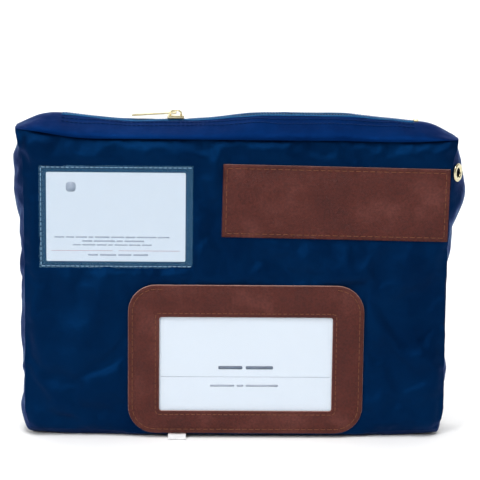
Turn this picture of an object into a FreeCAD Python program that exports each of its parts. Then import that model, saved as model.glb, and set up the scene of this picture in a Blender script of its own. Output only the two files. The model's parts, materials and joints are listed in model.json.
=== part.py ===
import FreeCAD, Part
import os
import Sketcher

# A zipped nylon cash deposit bag that stands on its bottom gusset.
# Front face towards -Y, mouth up, origin on the floor under the middle of the bag.

doc = FreeCAD.newDocument("cash_deposit_bag")
sheet = doc.addObject("Spreadsheet::Sheet", "Sizes")

SIZES = [
    # bag shell
    ("panel_width", 262.0),
    ("panel_height", 185.0),
    ("bag_depth", 42.0),
    ("fabric", 0.6),
    ("seam_lift", 2.5),
    ("base_flat", 32.0),
    ("gusset_bulge", 9.0),
    ("binding_width", 3.0),
    ("binding_thick", 0.8),
    # zip
    ("crest_rise", 9.5),
    ("half_slit", 0.9),
    ("crest_clearance", 0.8),
    ("tape", 0.7),
    ("mouth_angle", 14.0),
    ("lip_clearance", 0.8),
    ("slider_gap", 1.2),
    ("run_gap", 0.5),
    ("zip_left_margin", 23.0),
    ("zip_right_margin", 22.0),
    ("slider_from_left", 93.0),
    ("tooth_pitch", 1.8),
    ("tooth_length", 1.0),
    ("tooth_reach", 1.5),
    ("cord_width", 1.0),
    ("tooth_height", 2.2),
    ("stop_length", 3.0),
    ("stop_wall", 0.5),
    ("tab_lap", 0.4),
    ("web_lap", 0.2),
    ("tooth_clearance", 0.6),
    ("cord_clearance", 0.5),
    ("slot_clearance", 0.45),
    ("bridge_clearance", 0.3),
    # slider and pull
    ("slider_length", 10.4),
    ("slider_plate", 1.1),
    ("flange_thick", 0.7),
    ("bridge_length", 2.6),
    ("bridge_setback", 0.4),
    ("crown_length", 8.0),
    ("crown_rise", 3.4),
    ("crown_width", 2.0),
    ("crown_thick", 1.0),
    ("crown_shoulder", 2.0),
    ("crown_leg", 1.3),
    ("pull_length", 27.0),
    ("pull_width", 5.6),
    ("pull_thick", 1.2),
    ("pull_eye_length", 4.4),
    ("pull_hole", 2.6),
    ("pull_hole_margin", 1.4),
    ("pull_waist", 3.8),
    ("pull_eye_taper", 2.0),
    ("pull_tail_taper", 3.0),
    ("pull_side_clearance", 0.35),
    ("pull_clearance", 0.25),
    ("pull_droop", 3.5),
    # visiting-card pocket
    ("pocket_ease_wide", 6.6),
    ("pocket_ease_high", 3.7),
    ("pocket_left_margin", 10.0),
    ("pocket_top_margin", 16.5),
    ("pocket_hem", 2.4),
    ("film", 0.3),
    ("visiting_width", 85.0),
    ("visiting_height", 55.0),
    ("card", 0.35),
    ("slip", 0.15),
    # marking patch
    ("card_exit_gap", 18.0),
    ("patch_edge_margin", 1.0),
    ("patch_top_margin", 16.2),
    ("patch_height", 45.0),
    ("patch_thick", 1.2),
    ("patch_corner", 1.5),
    ("patch_tilt", 0.9),
    # label frame
    ("frame_width", 145.8),
    ("frame_height", 94.0),
    ("frame_shift", 6.4),
    ("frame_lift", 0.8),
    ("frame_leather", 1.0),
    ("frame_corner", 17.0),
    ("frame_border", 13.0),
    ("frame_foot", 9.0),
    ("window_overlap", 6.3),
    ("window_height", 59.5),
    ("window_lift", 14.4),
    ("name_ease", 2.8),
    ("name_height", 70.0),
    # eyelet and tag
    ("eyelet_bore", 5.7),
    ("eyelet_wall", 0.65),
    ("eyelet_flange", 11.5),
    ("eyelet_flange_thick", 0.9),
    ("eyelet_rim", 0.4),
    ("eyelet_outer_round", 0.7),
    ("eyelet_inner_round", 0.6),
    ("eyelet_hole_clearance", 0.05),
    ("washer_slack", 0.1),
    ("eyelet_washer", 10.6),
    ("eyelet_washer_thick", 0.5),
    ("eyelet_drop", 20.0),
    ("eyelet_angle", 33.0),
    ("tag_width", 11.0),
    ("tag_length", 6.2),
    ("tag_layer", 0.22),
    ("tag_from_left", 95.0),
    ("tag_tilt", 66.0),
    ("tag_seam_rise", 0.1),
    # how far a cutting shape reaches past what it cuts
    ("overshoot", 1.0),
]

# Sizes that follow from the ones above.
DERIVED = [
    ("half_width", "panel_width / 2"),
    ("half_depth", "bag_depth / 2"),
    ("inner_depth", "half_depth - fabric"),
    ("fold_z", "seam_lift + panel_height"),
    ("crest_z", "fold_z + crest_rise"),
    ("gusset_radius", "(inner_depth ^ 2 + gusset_bulge ^ 2) / (2 * gusset_bulge)"),
    ("gusset_centre", "half_width + gusset_bulge - gusset_radius"),
    ("zip_left", "zip_left_margin - half_width"),
    ("zip_right", "half_width - zip_right_margin"),
    ("slider_x", "slider_from_left - half_width"),
    ("chain_half", "half_slit + tooth_reach + cord_width"),
    ("slider_width", "2 * (chain_half + cord_clearance + flange_thick)"),
    ("slider_channel", "tooth_height + 2 * tooth_clearance"),
    ("tape_slot", "tape + 2 * slot_clearance"),
    ("bridge_width", "2 * (half_slit - bridge_clearance)"),
    ("half_crest", "slider_width / 2 + crest_clearance"),
    ("lip_start", "slider_x + slider_length / 2 + slider_gap"),
    ("closed_end", "lip_start - run_gap"),
    ("pocket_width", "visiting_width + pocket_hem + pocket_ease_wide"),
    ("pocket_height", "visiting_height + 2 * pocket_hem + pocket_ease_high"),
    ("pocket_left", "pocket_left_margin - half_width"),
    ("pocket_right", "pocket_left + pocket_width"),
    ("pocket_base", "fold_z - pocket_top_margin - pocket_height"),
    ("pocket_depth", "card + 2 * slip"),
    ("visiting_lift", "(pocket_height - visiting_height) / 2"),
    ("patch_left", "pocket_right + card_exit_gap"),
    ("patch_width", "half_width - patch_edge_margin - patch_left"),
    ("frame_base", "seam_lift + frame_lift"),
    ("frame_recess", "card + 2 * slip + film"),
    ("recess_width", "frame_width - 2 * frame_border"),
    ("window_width", "recess_width - 2 * window_overlap"),
    ("name_width", "recess_width - name_ease"),
    ("eyelet_barrel", "eyelet_bore / 2 + eyelet_wall"),
    ("washer_gap", "(eyelet_washer / 2) ^ 2 / (2 * (gusset_radius - fabric)) + washer_slack"),
    ("eyelet_depth", "fabric + washer_gap + eyelet_washer_thick"),
    ("crown_base", "slider_channel / 2 + slider_plate"),
    ("pivot_z", "crest_z + crown_base + crown_rise - crown_thick - pull_thick / 2 - pull_clearance"),
]

for row, (alias, value) in enumerate(SIZES + DERIVED, start=1):
    sheet.set("A%d" % row, alias)
    sheet.set("B%d" % row, "%s" % value if alias in dict(SIZES) else "=" + value)
    sheet.setAlias("B%d" % row, alias)
doc.recompute()

FRONT = -1
BACK = 1
parts = {}


def size(expression):
    """Value in millimetres of an expression of the sheet's names."""
    value = sheet.evalExpression(expression)
    return float(getattr(value, "Value", value))


def bound(expression):
    """The same expression as seen from another object, with each name led by the sheet's."""
    words = []
    word = ""
    for letter in expression + " ":
        if letter.isalnum() or letter in "_.":
            word += letter
            continue
        words.append("Sizes." + word if word in NAMES else word)
        words.append(letter)
        word = ""
    return "".join(words).strip()


NAMES = {alias for alias, value in SIZES + DERIVED}


def keep(item, label):
    """Name a finished sub-part and list it for export."""
    item.Label = label
    parts[label] = item
    return item


def place(item, x="0", y="0", z="0", axis=None, angle="0"):
    """Put a sub-part at a bound position, turned by a bound angle about one axis."""
    turn_axis = axis or FreeCAD.Vector(0, 0, 1)
    turn = FreeCAD.Rotation(turn_axis, size(angle))
    item.Placement = FreeCAD.Placement(FreeCAD.Vector(size(x), size(y), size(z)), turn)
    item.setExpression("Placement.Base.x", bound(x))
    item.setExpression("Placement.Base.y", bound(y))
    item.setExpression("Placement.Base.z", bound(z))
    if axis:
        item.setExpression("Placement.Rotation.Angle", bound(angle))
    return item


def plane_of(body, role):
    for feature in body.Origin.OriginFeatures:
        if feature.Role == role:
            return feature
    raise ValueError(role)


def polygon(body, name, role, points):
    """A closed outline on one of the body's planes, each corner bound to the sheet."""
    sketch = body.newObject("Sketcher::SketchObject", name)
    sketch.AttachmentSupport = [(plane_of(body, role), "")]
    sketch.MapMode = "FlatFace"
    corners = [FreeCAD.Vector(size(u), size(v), 0) for u, v in points]
    count = len(corners)
    for index in range(count):
        sketch.addGeometry(Part.LineSegment(corners[index], corners[(index + 1) % count]), False)
    for index in range(count):
        sketch.addConstraint(Sketcher.Constraint("Coincident", index, 2, (index + 1) % count, 1))
    for index, corner in enumerate(corners):
        for kind, axis_id, value, text in (("DistanceX", -2, corner.x, points[index][0]),
                                           ("DistanceY", -1, corner.y, points[index][1])):
            if abs(value) < 1e-9:
                sketch.addConstraint(Sketcher.Constraint("PointOnObject", index, 1, axis_id))
                continue
            ends = (-1, 1, index, 1) if value > 0 else (index, 1, -1, 1)
            number = sketch.addConstraint(Sketcher.Constraint(kind, *ends, abs(value)))
            signed = text if value > 0 else "-(" + text + ")"
            sketch.setExpression("Constraints[%d]" % number, bound(signed))
    sketch.recompute()
    return sketch


def rectangle(left, right, bottom, top):
    return [(left, bottom), (right, bottom), (right, top), (left, top)]


def pad(body, name, sketch, length, flip=False):
    feature = body.newObject("PartDesign::Pad", name)
    feature.Profile = sketch
    feature.Length = size(length)
    feature.setExpression("Length", bound(length))
    feature.Reversed = flip
    doc.recompute()
    return feature


def pocket(body, name, sketch, length, flip=False):
    """Cut a sketch out of the body, and make sure that it did cut."""
    before = body.Shape.Volume
    feature = body.newObject("PartDesign::Pocket", name)
    feature.Profile = sketch
    feature.Length = size(length)
    feature.setExpression("Length", bound(length))
    feature.Reversed = flip
    doc.recompute()
    if body.Shape.Volume > before - 1e-6:
        raise ValueError("nothing cut by " + name)
    return feature


def fillet_along(body, name, direction, radius):
    """Round the body's straight edges that run along a direction."""
    tip = body.Tip
    chosen = []
    for number, edge in enumerate(tip.Shape.Edges, start=1):
        if edge.Curve.TypeId != "Part::GeomLine":
            continue
        if abs(edge.tangentAt(edge.FirstParameter).dot(direction)) > 0.999:
            chosen.append("Edge%d" % number)
    feature = body.newObject("PartDesign::Fillet", name)
    feature.Base = (tip, chosen)
    feature.Radius = size(radius)
    feature.setExpression("Radius", bound(radius))
    doc.recompute()
    return feature


def new_body(label):
    return keep(doc.addObject("PartDesign::Body", label), label)


def box(name, width, depth, height, x="0", y="0", z="0"):
    item = doc.addObject("Part::Box", name)
    for prop, text in (("Length", width), ("Width", depth), ("Height", height)):
        setattr(item, prop, size(text))
        item.setExpression(prop, bound(text))
    return place(item, x, y, z)


def cylinder(name, radius, height, x="0", y="0", z="0"):
    item = doc.addObject("Part::Cylinder", name)
    for prop, text in (("Radius", radius), ("Height", height)):
        setattr(item, prop, size(text))
        item.setExpression(prop, bound(text))
    return place(item, x, y, z)


def cut(name, base, tool):
    item = doc.addObject("Part::Cut", name)
    item.Base = base
    item.Tool = tool
    return item


def common(name, base, tool):
    item = doc.addObject("Part::Common", name)
    item.Base = base
    item.Tool = tool
    return item


def set_down(item, placement):
    """Put a sub-part at a turned place that one bound angle can't give."""
    for letter in "xyz":
        item.setExpression("Placement.Base." + letter, None)
    item.Placement = placement


# ---------------------------------------------------------------- fabric shell

def panel(label, side):
    """Front or back panel: a sheet between the two sides and from the base seam to the fold."""
    body = new_body(label)
    outline = polygon(body, label + "_outline", "XZ_Plane",
                      rectangle("-half_width", "half_width", "0", "panel_height"))
    pad(body, label + "_sheet", outline, "fabric", flip=(side == BACK))
    place(body, y="-inner_depth" if side == FRONT else "inner_depth", z="seam_lift")


def side_gusset(label, side):
    """Side gusset: a sheet bowed outwards, closed across its top and bottom."""
    radius = cylinder(label + "_outer", "gusset_radius", "panel_height")
    hollow = cylinder(label + "_inner", "gusset_radius - fabric", "panel_height - 2 * fabric", z="fabric")
    shell = cut(label + "_shell", radius, hollow)
    keep_zone = box(label + "_zone", "gusset_bulge + overshoot", "2 * inner_depth", "panel_height",
                    x="gusset_radius - gusset_bulge", y="-inner_depth")
    item = common(label + "_sheet", shell, keep_zone)
    if side > 0:
        barrel = cylinder(label + "_eyelet_hole", "eyelet_barrel + eyelet_hole_clearance", "4 * gusset_bulge")
        turn = outward_turn()
        start = turn.multVec(FreeCAD.Vector(0, 0, size("gusset_radius - 2 * gusset_bulge")))
        start.z = size("panel_height - eyelet_drop")
        set_down(barrel, FreeCAD.Placement(start, turn))
        item = cut(label + "_pierced", item, barrel)
    keep(item, label)
    if side > 0:
        place(item, x="gusset_centre", z="seam_lift")
    else:
        place(item, x="-gusset_centre", z="seam_lift", axis=FreeCAD.Vector(0, 0, 1), angle="180")


def bottom_gusset():
    """Bottom gusset: a shallow tray, flat where the bag stands and rising to both seams."""
    body = new_body("bottom_gusset")
    outer = polygon(body, "base_outline", "YZ_Plane",
                    [("-half_depth", "seam_lift"), ("-base_flat / 2", "0"),
                     ("base_flat / 2", "0"), ("half_depth", "seam_lift")])
    pad(body, "base_block", outer, "panel_width")
    inner = polygon(body, "base_hollow_outline", "YZ_Plane",
                    [("-inner_depth", "seam_lift"), ("-base_flat / 2 + fabric / 3", "fabric"),
                     ("base_flat / 2 - fabric / 3", "fabric"), ("inner_depth", "seam_lift")])
    inner.AttachmentOffset = FreeCAD.Placement(FreeCAD.Vector(0, 0, size("fabric")), FreeCAD.Rotation())
    inner.setExpression("AttachmentOffset.Base.z", bound("fabric"))
    pocket(body, "base_hollow", inner, "panel_width - 2 * fabric", flip=True)
    place(body, x="-half_width")


def seam_binding(label, side):
    """Binding tape folded over the raw seam edges inside the bag, up both sides and along the base."""
    body = new_body(label)
    reach = "(half_width - fabric)"
    inner = "(half_width - fabric - binding_width)"
    outline = polygon(body, label + "_outline", "XZ_Plane",
                      [("-" + reach, "fabric"), (reach, "fabric"),
                       (reach, "panel_height - binding_width"), (inner, "panel_height - binding_width"),
                       (inner, "fabric + binding_width"), ("-" + inner, "fabric + binding_width"),
                       ("-" + inner, "panel_height - binding_width"),
                       ("-" + reach, "panel_height - binding_width")])
    pad(body, label + "_tape", outline, "binding_thick", flip=(side == BACK))
    depth = "inner_depth - binding_thick"
    place(body, y="-(" + depth + ")" if side == FRONT else depth, z="seam_lift")


# ---------------------------------------------------------------- zip

def tape_strip(label, side, start, end, foot, reach, opening="0"):
    """Half of the zip tape, from the panel's fold up to the crest, as one straight run."""
    body = new_body(label)
    bend = "inner_depth - half_crest"
    outline = polygon(body, label + "_outline", "YZ_Plane", [
        (foot, "0"), (foot, "tape"), (bend, "crest_rise + tape / 2"), (reach, "crest_rise + tape / 2"),
        (reach, "crest_rise - tape / 2"), (bend + " + tape / 4", "crest_rise - tape / 2")])
    pad(body, label + "_strip", outline, "(" + end + ") - (" + start + ")")
    on_hinge(body, side, start, end, opening)


def on_hinge(body, side, start, end, opening):
    """Set a zip piece on its panel's fold line, turned outwards by the mouth's opening angle."""
    if side == FRONT:
        place(body, x=start, y="-inner_depth", z="fold_z", axis=FreeCAD.Vector(1, 0, 0), angle=opening)
        return
    place(body, x=end, y="inner_depth", z="fold_z")
    half_turn = FreeCAD.Rotation(FreeCAD.Vector(0, 0, 1), 180)
    swing = FreeCAD.Rotation(FreeCAD.Vector(1, 0, 0), size(opening))
    body.Placement = FreeCAD.Placement(body.Placement.Base, half_turn * swing)


def tooth_row(label, side, start, end, opening="0", carrier=False):
    """Tooth row: a cord with evenly spaced teeth, drawn as one comb, with its strip of tape if asked."""
    length = size("(" + end + ") - (" + start + ")")
    pitch = size("tooth_pitch")
    tooth = size("tooth_length")
    edge = size("inner_depth - half_slit")
    root = edge - size("tooth_reach")
    back = root - size("cord_width")
    count = int((length - tooth) / pitch)
    points = [(0, back), (0, root)]
    for index in range(count):
        near = pitch * (index + 0.5)
        points += [(near, root), (near, edge), (near + tooth, edge), (near + tooth, root)]
    points += [(length, root), (length, back), (0, back)]
    wire = Part.makePolygon([FreeCAD.Vector(x, y, 0) for x, y in points])
    comb = Part.Face(wire).extrude(FreeCAD.Vector(0, 0, size("tooth_height")))
    comb.translate(FreeCAD.Vector(0, 0, size("crest_rise - tooth_height / 2")))
    inner = size("inner_depth - half_crest + tape")
    if carrier:
        web = Part.makeBox(length, back - inner + size("web_lap"), size("tape"))
        web.translate(FreeCAD.Vector(0, inner, size("crest_rise - tape / 2")))
        comb = comb.fuse(web).removeSplitter()
    else:
        over = size("overshoot")
        slot = Part.makeBox(length + 2 * over, edge - back + over, size("tape"))
        slot.translate(FreeCAD.Vector(-over, back - over, size("crest_rise - tape / 2")))
        comb = comb.cut(slot)
    item = keep(doc.addObject("Part::Feature", label), label)
    item.Shape = comb
    on_hinge(item, side, start, end, opening)


def end_tab(label, side):
    """Fabric tab that closes the end of the zip: the crest's outline with its outer end closed."""
    body = new_body(label)
    length = "zip_left_margin - stop_length" if side < 0 else "zip_right_margin - stop_length"
    crest = "crest_rise + tape / 2"
    outer = polygon(body, label + "_outline", "YZ_Plane",
                    [("-half_depth", "0"), ("-half_crest", crest),
                     ("half_crest", crest), ("half_depth", "0")])
    pad(body, label + "_block", outer, length)
    inner = polygon(body, label + "_hollow_outline", "YZ_Plane",
                    [("-inner_depth + tab_lap", "0"), ("-half_crest", crest + " - fabric"),
                     ("half_crest", crest + " - fabric"), ("inner_depth - tab_lap", "0")])
    pocket(body, label + "_hollow", inner, length + " - fabric", flip=True)
    if side > 0:
        place(body, x="half_width - (" + length + ")", z="fold_z")
    else:
        place(body, x="-half_width + (" + length + ")", z="fold_z",
              axis=FreeCAD.Vector(0, 0, 1), angle="180")


def end_stop(label, at):
    """Metal stop crimped over both tooth rows at one end of the zip."""
    top = "tooth_height / 2 + stop_wall"
    item = box(label + "_block", "stop_length", "2 * chain_half", "2 * (" + top + ")",
               x=at, y="-chain_half", z="crest_z - (" + top + ")")
    keep(item, label)


# ---------------------------------------------------------------- slider and pull

def slider_body():
    """Slider: top and bottom plates with side flanges, joined by the bridge that parts the teeth."""
    half = "slider_width / 2"
    channel = "slider_channel / 2"
    body = new_body("slider_body")
    outline = polygon(body, "slider_outline", "YZ_Plane", rectangle(
        "-" + half, half, "-(" + channel + " + slider_plate)", channel + " + slider_plate"))
    pad(body, "slider_block", outline, "slider_length")
    tunnel = polygon(body, "slider_channel_outline", "YZ_Plane", rectangle(
        "-(" + half + " - flange_thick)", half + " - flange_thick", "-" + channel, channel))
    pocket(body, "slider_tunnel", tunnel, "slider_length", flip=True)
    slots = polygon(body, "slider_slot_outline", "YZ_Plane", rectangle(
        "-(" + half + " + overshoot)", half + " + overshoot", "-tape_slot / 2", "tape_slot / 2"))
    pocket(body, "slider_slots", slots, "slider_length", flip=True)
    post = polygon(body, "slider_bridge_outline", "XY_Plane", rectangle(
        "slider_length - bridge_length - bridge_setback", "slider_length - bridge_setback",
        "-bridge_width / 2", "bridge_width / 2"))
    post.AttachmentOffset = FreeCAD.Placement(FreeCAD.Vector(0, 0, -size(channel)), FreeCAD.Rotation())
    post.setExpression("AttachmentOffset.Base.z", bound("-(" + channel + ")"))
    pad(body, "slider_bridge", post, "slider_channel")
    place(body, x="slider_x - slider_length / 2", z="crest_z")


def slider_crown():
    """Crown: a low arch along the slider's back that holds the pull."""
    body = new_body("slider_crown")
    half = "crown_length / 2"
    inner = "crown_rise - crown_thick"
    inside = "(crown_length / 2 - crown_leg)"
    outline = polygon(body, "crown_outline", "XZ_Plane", [
        ("-" + half, "0"), ("-" + half, "crown_shoulder"), ("-" + half + " / 2", "crown_rise"),
        (half + " / 2", "crown_rise"), (half, "crown_shoulder"), (half, "0"), (inside, "0"),
        (inside, "crown_shoulder - crown_thick / 2"), (inside + " / 2", inner),
        ("-" + inside + " / 2", inner), ("-" + inside, "crown_shoulder - crown_thick / 2"),
        ("-" + inside, "0")])
    pad(body, "crown_arch", outline, "crown_width")
    place(body, x="slider_x", y="crown_width / 2", z="crest_z + crown_base")


def pull_tab():
    """Pull: a flat tab whose eye passes under the crown, with a hole near its free end."""
    body = new_body("pull_tab")
    half = "pull_width / 2"
    waist = "pull_waist / 2"
    neck = "(pull_length - pull_eye_length * 2)"
    outline = polygon(body, "pull_outline", "XY_Plane", [
        ("pull_thick / 2", "-" + half), ("pull_thick / 2", half), ("-pull_eye_length", half),
        ("-pull_eye_length - pull_eye_taper", waist), ("-" + neck, waist),
        ("-" + neck + " - pull_tail_taper", half), ("-pull_length", half), ("-pull_length", "-" + half),
        ("-" + neck + " - pull_tail_taper", "-" + half), ("-" + neck, "-" + waist),
        ("-pull_eye_length - pull_eye_taper", "-" + waist), ("-pull_eye_length", "-" + half)])
    pad(body, "pull_plate", outline, "pull_thick")
    beside = "crown_width / 2 + pull_side_clearance"
    eye = polygon(body, "pull_eye_outline", "XY_Plane", rectangle(
        "-pull_eye_length", "-pull_thick / 2", "-(" + beside + ")", beside))
    pocket(body, "pull_eye", eye, "pull_thick", flip=True)
    tail = polygon(body, "pull_hole_outline", "XY_Plane", rectangle(
        "-pull_length + pull_hole_margin", "-pull_length + pull_hole_margin + pull_hole",
        "-pull_hole / 2", "pull_hole / 2"))
    pocket(body, "pull_tail_hole", tail, "pull_thick", flip=True)
    place(body, x="slider_x", z="pivot_z - pull_thick / 2",
          axis=FreeCAD.Vector(0, 1, 0), angle="-pull_droop")


# ---------------------------------------------------------------- front fittings

def card_pocket():
    """Clear film pocket, sewn at the left, top and bottom and open towards the middle of the bag."""
    body = new_body("card_pocket_film")
    outline = polygon(body, "film_outline", "XZ_Plane", rectangle("0", "pocket_width", "0", "pocket_height"))
    pad(body, "film_block", outline, "pocket_depth + film")
    hollow = polygon(body, "film_hollow_outline", "XZ_Plane", rectangle(
        "pocket_hem", "pocket_width", "pocket_hem", "pocket_height - pocket_hem"))
    pocket(body, "film_hollow", hollow, "pocket_depth", flip=True)
    place(body, x="pocket_left", y="-half_depth", z="pocket_base")


def flat_card(label, width, height, x, z):
    body = new_body(label)
    outline = polygon(body, label + "_outline", "XZ_Plane", rectangle("0", width, "0", height))
    pad(body, label + "_sheet", outline, "card")
    place(body, x=x, y="-half_depth - slip", z=z)


def marking_patch():
    """Leather patch sewn on near the top, its right edge at the side seam."""
    body = new_body("marking_patch")
    outline = polygon(body, "patch_outline", "XZ_Plane", rectangle(
        "-patch_width / 2", "patch_width / 2", "-patch_height / 2", "patch_height / 2"))
    pad(body, "patch_leather", outline, "patch_thick")
    fillet_along(body, "patch_corners", FreeCAD.Vector(0, 1, 0), "patch_corner")
    place(body, x="patch_left + patch_width / 2", y="-half_depth",
          z="fold_z - patch_top_margin - patch_height / 2", axis=FreeCAD.Vector(0, 1, 0), angle="patch_tilt")


def label_frame():
    """Leather frame, sewn at both sides and the bottom, with a window and a card slot open at the top."""
    body = new_body("label_frame")
    outline = polygon(body, "frame_outline", "XZ_Plane", rectangle(
        "-frame_width / 2", "frame_width / 2", "0", "frame_height"))
    pad(body, "frame_block", outline, "frame_recess + frame_leather")
    fillet_along(body, "frame_corners", FreeCAD.Vector(0, 1, 0), "frame_corner")
    slot = polygon(body, "frame_slot_outline", "XZ_Plane", rectangle(
        "-recess_width / 2", "recess_width / 2", "frame_foot", "frame_height + overshoot"))
    pocket(body, "frame_slot", slot, "frame_recess", flip=True)
    window = polygon(body, "window_outline", "XZ_Plane", rectangle(
        "-window_width / 2", "window_width / 2", "window_lift", "window_lift + window_height"))
    pocket(body, "window", window, "frame_recess + frame_leather + overshoot", flip=True)
    place(body, x="frame_shift", y="-half_depth", z="frame_base")


def window_film():
    """Clear film held behind the frame's window."""
    body = new_body("window_film")
    outline = polygon(body, "window_film_outline", "XZ_Plane", rectangle(
        "-recess_width / 2", "recess_width / 2",
        "frame_foot", "window_lift * 2 - frame_foot + window_height"))
    pad(body, "window_film_sheet", outline, "film")
    place(body, x="frame_shift", y="-half_depth - frame_recess + film", z="frame_base")


# ---------------------------------------------------------------- eyelet and tag

def outward_turn():
    """Turn that brings a piece drawn along +Z onto the gusset's outward direction at the eyelet."""
    spin = FreeCAD.Rotation(FreeCAD.Vector(0, 0, 1), -size("eyelet_angle"))
    return FreeCAD.Rotation(FreeCAD.Vector(0, 0, 1), spin.multVec(FreeCAD.Vector(1, 0, 0)))


def on_gusset(item):
    """Set a round piece on the right gusset's outer surface, at the eyelet's place."""
    turn = outward_turn()
    outwards = turn.multVec(FreeCAD.Vector(0, 0, 1))
    centre = FreeCAD.Vector(size("gusset_centre"), 0, size("fold_z - eyelet_drop"))
    item.Placement = FreeCAD.Placement(centre + outwards * size("gusset_radius"), turn)


def eyelet():
    """Eyelet: a barrel through the gusset with a rounded flange outside."""
    profile = [("eyelet_bore / 2", "-eyelet_depth"), ("eyelet_barrel", "-eyelet_depth"),
               ("eyelet_barrel", "0"), ("eyelet_flange / 2", "0"),
               ("eyelet_flange / 2", "eyelet_rim"),
               ("eyelet_flange / 2 - eyelet_outer_round", "eyelet_flange_thick"),
               ("eyelet_bore / 2 + eyelet_inner_round", "eyelet_flange_thick"),
               ("eyelet_bore / 2", "eyelet_rim")]
    body = new_body("eyelet")
    outline = polygon(body, "eyelet_outline", "XZ_Plane", profile)
    turned = body.newObject("PartDesign::Revolution", "eyelet_ring")
    turned.Profile = outline
    turned.ReferenceAxis = (outline, ["V_Axis"])
    turned.Angle = 360
    doc.recompute()
    on_gusset(body)


def eyelet_washer():
    """Washer inside the gusset, on the eyelet's barrel."""
    ring = cylinder("washer_disc", "eyelet_washer / 2", "eyelet_washer_thick",
                    z="-(fabric + washer_gap + eyelet_washer_thick)")
    hole = cylinder("washer_hole", "eyelet_barrel", "eyelet_washer_thick * 3",
                    z="-(fabric + washer_gap + eyelet_washer_thick * 2)")
    on_gusset(keep(cut("washer_ring", ring, hole), "eyelet_washer"))


def seam_tag():
    """Folded ribbon tag that comes out of the front base seam and hangs just clear of the floor."""
    outer = box("tag_outer", "tag_width", "3 * tag_layer", "tag_length", y="-3 * tag_layer", z="-tag_length")
    slot = box("tag_slot", "tag_width + 2 * overshoot", "tag_layer", "tag_length", x="-overshoot",
               y="-2 * tag_layer", z="tag_layer - tag_length")
    item = keep(cut("tag_loop", outer, slot), "seam_tag")
    place(item, x="tag_from_left - half_width - tag_width / 2", y="-half_depth",
          z="seam_lift + tag_seam_rise", axis=FreeCAD.Vector(1, 0, 0), angle="-tag_tilt")


panel("front_panel", FRONT)
panel("back_panel", BACK)
side_gusset("left_gusset", -1)
side_gusset("right_gusset", 1)
bottom_gusset()
seam_binding("front_seam_binding", FRONT)
seam_binding("back_seam_binding", BACK)
for name, where in (("front", FRONT), ("back", BACK)):
    tape_strip(name + "_closed_tape", where, "zip_left", "closed_end", "-fabric", "inner_depth - half_slit")
    tooth_row(name + "_closed_teeth", where, "zip_left", "closed_end")
    tape_strip(name + "_lip_tape", where, "lip_start", "zip_right", "lip_clearance",
               "inner_depth - half_crest + tape", "mouth_angle")
    tooth_row(name + "_lip_teeth", where, "lip_start", "zip_right", "mouth_angle", carrier=True)
end_tab("left_end_tab", -1)
end_tab("right_end_tab", 1)
end_stop("left_end_stop", "zip_left - stop_length")
end_stop("right_end_stop", "zip_right")
slider_body()
slider_crown()
pull_tab()
card_pocket()
flat_card("visiting_card", "visiting_width", "visiting_height",
          "pocket_left + pocket_hem + visiting_lift / 2", "pocket_base + visiting_lift")
marking_patch()
label_frame()
window_film()
flat_card("name_card", "name_width", "name_height", "frame_shift - name_width / 2",
          "frame_base + frame_foot + slip")
eyelet()
eyelet_washer()
seam_tag()
doc.recompute()

for item in doc.Objects:
    for state in ("Invalid", "Error"):
        if state in item.State:
            raise ValueError(item.Name + " is in state " + state)
for label, item in parts.items():
    if item.Shape.isNull() or not item.Shape.isValid():
        raise ValueError(label + " has no valid shape")

os.makedirs("parts", exist_ok=True)
for label, item in parts.items():
    item.Shape.exportStep("parts/" + label + ".step")
print(len(parts), "sub-parts written")
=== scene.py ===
import bmesh
import bpy
import json
import math
from mathutils import Matrix, Vector, noise


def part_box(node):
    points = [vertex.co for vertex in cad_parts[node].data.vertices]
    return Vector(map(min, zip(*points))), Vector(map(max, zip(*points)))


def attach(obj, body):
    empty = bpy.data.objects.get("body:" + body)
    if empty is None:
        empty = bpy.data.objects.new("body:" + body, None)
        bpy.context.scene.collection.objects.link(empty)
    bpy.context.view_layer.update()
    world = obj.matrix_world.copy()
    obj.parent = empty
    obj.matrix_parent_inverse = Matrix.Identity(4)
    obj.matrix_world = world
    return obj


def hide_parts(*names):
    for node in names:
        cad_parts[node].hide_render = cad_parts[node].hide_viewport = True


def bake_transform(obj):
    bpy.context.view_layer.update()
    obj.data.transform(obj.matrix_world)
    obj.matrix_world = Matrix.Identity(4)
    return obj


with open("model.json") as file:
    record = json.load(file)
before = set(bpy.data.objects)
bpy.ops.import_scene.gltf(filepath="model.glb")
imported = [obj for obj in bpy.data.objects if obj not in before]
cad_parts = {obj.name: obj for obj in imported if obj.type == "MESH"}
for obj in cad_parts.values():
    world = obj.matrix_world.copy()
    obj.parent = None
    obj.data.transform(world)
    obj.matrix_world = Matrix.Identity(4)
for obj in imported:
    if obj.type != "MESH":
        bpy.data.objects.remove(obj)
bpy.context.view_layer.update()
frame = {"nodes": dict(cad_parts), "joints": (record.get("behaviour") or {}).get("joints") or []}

MM = 0.001

# ------------------------------------------------------------------ places, in millimetres, from the frame


def span(node):
    low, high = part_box(node)
    return low / MM, high / MM


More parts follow.
